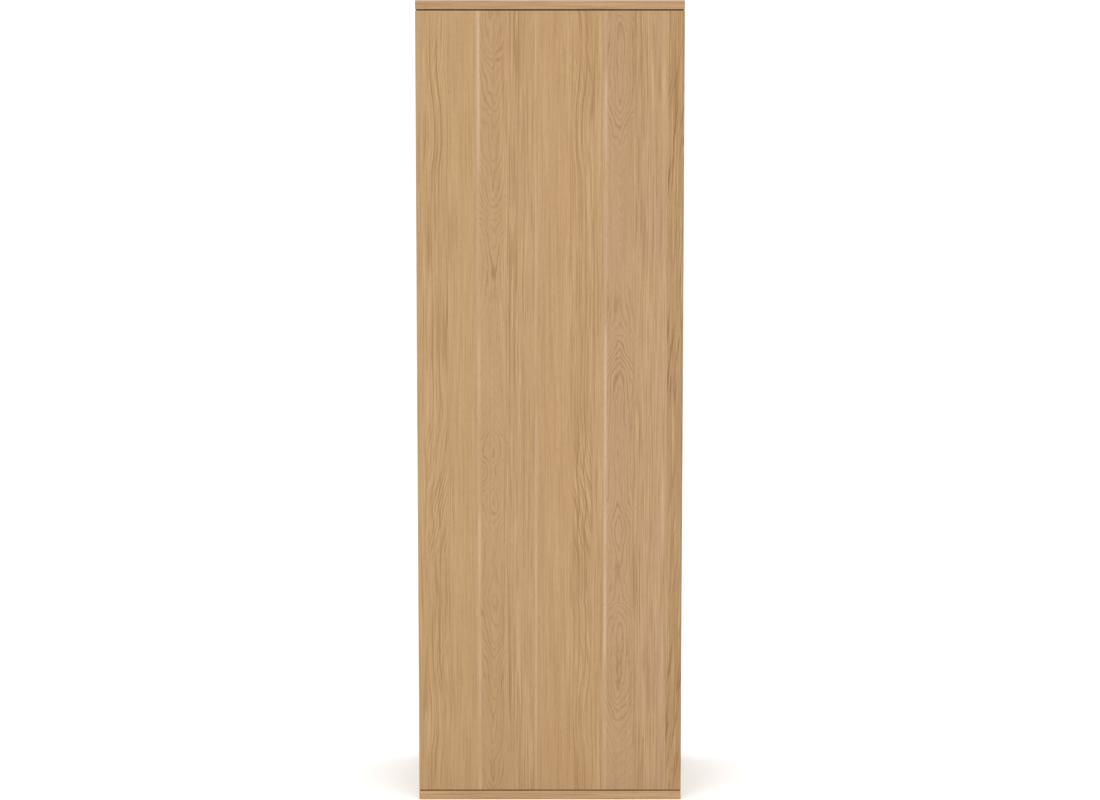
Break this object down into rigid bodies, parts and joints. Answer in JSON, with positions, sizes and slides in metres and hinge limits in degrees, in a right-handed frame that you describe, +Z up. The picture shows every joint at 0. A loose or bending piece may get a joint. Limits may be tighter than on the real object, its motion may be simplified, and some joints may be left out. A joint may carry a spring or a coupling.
{
  "type": "pantry cabinet",
  "caption": "Tall free-standing pantry cabinet in oak veneer with a flush handle-less hinged door, concealed hinges, a push latch and shelves inside.",
  "frame": {"origin": "middle of the underside, on the floor", "axes": "+Z up, -Y out of the door, +X to the right seen from the front"},
  "size_m": [0.596, 0.4, 1.8],
  "materials": {
    "oak_veneer": "satin lacquer",
    "oak_back": "satin lacquer",
    "beech": "raw",
    "grey_plastic": "fine texture",
    "black_plastic": "fine texture",
    "magnet": "polished",
    "die_cast_zinc": "cast",
    "nickel_steel": "nickel plated"
  },
  "bodies": {
    "carcass": {"adjustable_shelf_high": "oak_veneer", "adjustable_shelf_low": "oak_veneer", "adjustable_shelf_lower_middle": "oak_veneer", "adjustable_shelf_upper_middle": "oak_veneer", "back_panel": "oak_back", "back_panel_screws": "nickel_steel", "bottom_panel": "oak_veneer", "cam_bolts": "nickel_steel", "cam_locks": "die_cast_zinc", "dowels": "beech", "fixed_shelf": "oak_veneer", "foot_bushes": "nickel_steel", "hinge_arm_bottom": "nickel_steel", "hinge_arm_lower": "nickel_steel", "hinge_arm_pins": "nickel_steel", "hinge_arm_screws": "nickel_steel", "hinge_arm_top": "nickel_steel", "hinge_arm_upper": "nickel_steel", "hinge_mounting_plate_bottom": "nickel_steel", "hinge_mounting_plate_lower": "nickel_steel", "hinge_mounting_plate_top": "nickel_steel", "hinge_mounting_plate_upper": "nickel_steel", "hinge_mounting_screws": "nickel_steel", "left_side_panel": "oak_veneer", "push_latch_housing": "grey_plastic", "push_latch_screws": "nickel_steel", "push_latch_spring": "nickel_steel", "right_side_panel": "oak_veneer", "shelf_pegs": "nickel_steel", "top_panel": "oak_veneer", "wall_bracket_left": "nickel_steel", "wall_bracket_right": "nickel_steel", "wall_bracket_screws": "nickel_steel"},
    "door": {"door": "oak_veneer", "strike_plate": "nickel_steel", "strike_plate_screws": "nickel_steel", "hinge_cup_pins": "nickel_steel", "hinge_cup_screws": "nickel_steel", "hinge_cup_bottom": "nickel_steel", "hinge_cup_lower": "nickel_steel", "hinge_cup_top": "nickel_steel", "hinge_cup_upper": "nickel_steel"},
    "main_links": {"hinge_main_links": "nickel_steel", "hinge_main_link_pins": "nickel_steel"},
    "rear_links": {"hinge_rear_links": "nickel_steel", "hinge_rear_link_pins": "nickel_steel"},
    "long_links": {"hinge_long_links": "nickel_steel"},
    "short_links": {"hinge_short_links": "nickel_steel"},
    "latch_plunger": {"push_latch_plunger": "grey_plastic", "push_latch_magnet": "magnet"},
    "levelling_foot_front_left": {"levelling_foot_front_left": "black_plastic"},
    "levelling_foot_front_right": {"levelling_foot_front_right": "black_plastic"},
    "levelling_foot_rear_left": {"levelling_foot_rear_left": "black_plastic"},
    "levelling_foot_rear_right": {"levelling_foot_rear_right": "black_plastic"}
  },
  "joints": [
    {"name": "door_swing", "type": "hinge", "parent": "carcass", "child": "door", "pos_m": [-0.2965, -0.1985, 0.9], "axis": [0, 0, -1], "range_deg": [0, 95]},
    {"name": "hinge_main_turn", "type": "hinge", "parent": "carcass", "child": "main_links", "pos_m": [-0.2695, -0.167, 0.9], "axis": [0, 0, -1], "range_deg": [0, 95]},
    {"name": "hinge_rear_turn", "type": "hinge", "parent": "carcass", "child": "rear_links", "pos_m": [-0.2645, -0.149, 0.9], "axis": [0, 0, -1], "range_deg": [0, 95]},
    {"name": "hinge_long_turn", "type": "hinge", "parent": "main_links", "child": "long_links", "pos_m": [-0.25, -0.1527, 0.9], "axis": [0, 0, 1], "range_deg": [0, 95]},
    {"name": "hinge_short_turn", "type": "hinge", "parent": "main_links", "child": "short_links", "pos_m": [-0.242, -0.152, 0.9], "axis": [0, 0, 1], "range_deg": [0, 95]},
    {"name": "latch_plunger_slide", "type": "slide", "parent": "carcass", "child": "latch_plunger", "axis": [0, -1, 0], "range_m": [0, 0.03]},
    {"name": "foot_front_left_screw", "type": "slide", "parent": "carcass", "child": "levelling_foot_front_left", "axis": [0, 0, -1], "range_m": [0, 0.008]},
    {"name": "foot_front_right_screw", "type": "slide", "parent": "carcass", "child": "levelling_foot_front_right", "axis": [0, 0, -1], "range_m": [0, 0.008]},
    {"name": "foot_rear_left_screw", "type": "slide", "parent": "carcass", "child": "levelling_foot_rear_left", "axis": [0, 0, -1], "range_m": [0, 0.008]},
    {"name": "foot_rear_right_screw", "type": "slide", "parent": "carcass", "child": "levelling_foot_rear_right", "axis": [0, 0, -1], "range_m": [0, 0.008]}
  ],
  "couplings": [
    {"joint": "hinge_main_turn", "follows": "door_swing", "ratio": 1},
    {"joint": "hinge_rear_turn", "follows": "door_swing", "ratio": 1},
    {"joint": "hinge_long_turn", "follows": "door_swing", "ratio": 1},
    {"joint": "hinge_short_turn", "follows": "door_swing", "ratio": 1},
    {"joint": "latch_plunger_slide", "follows": "door_swing", "m_per_rad": 0.018075}
  ]
}
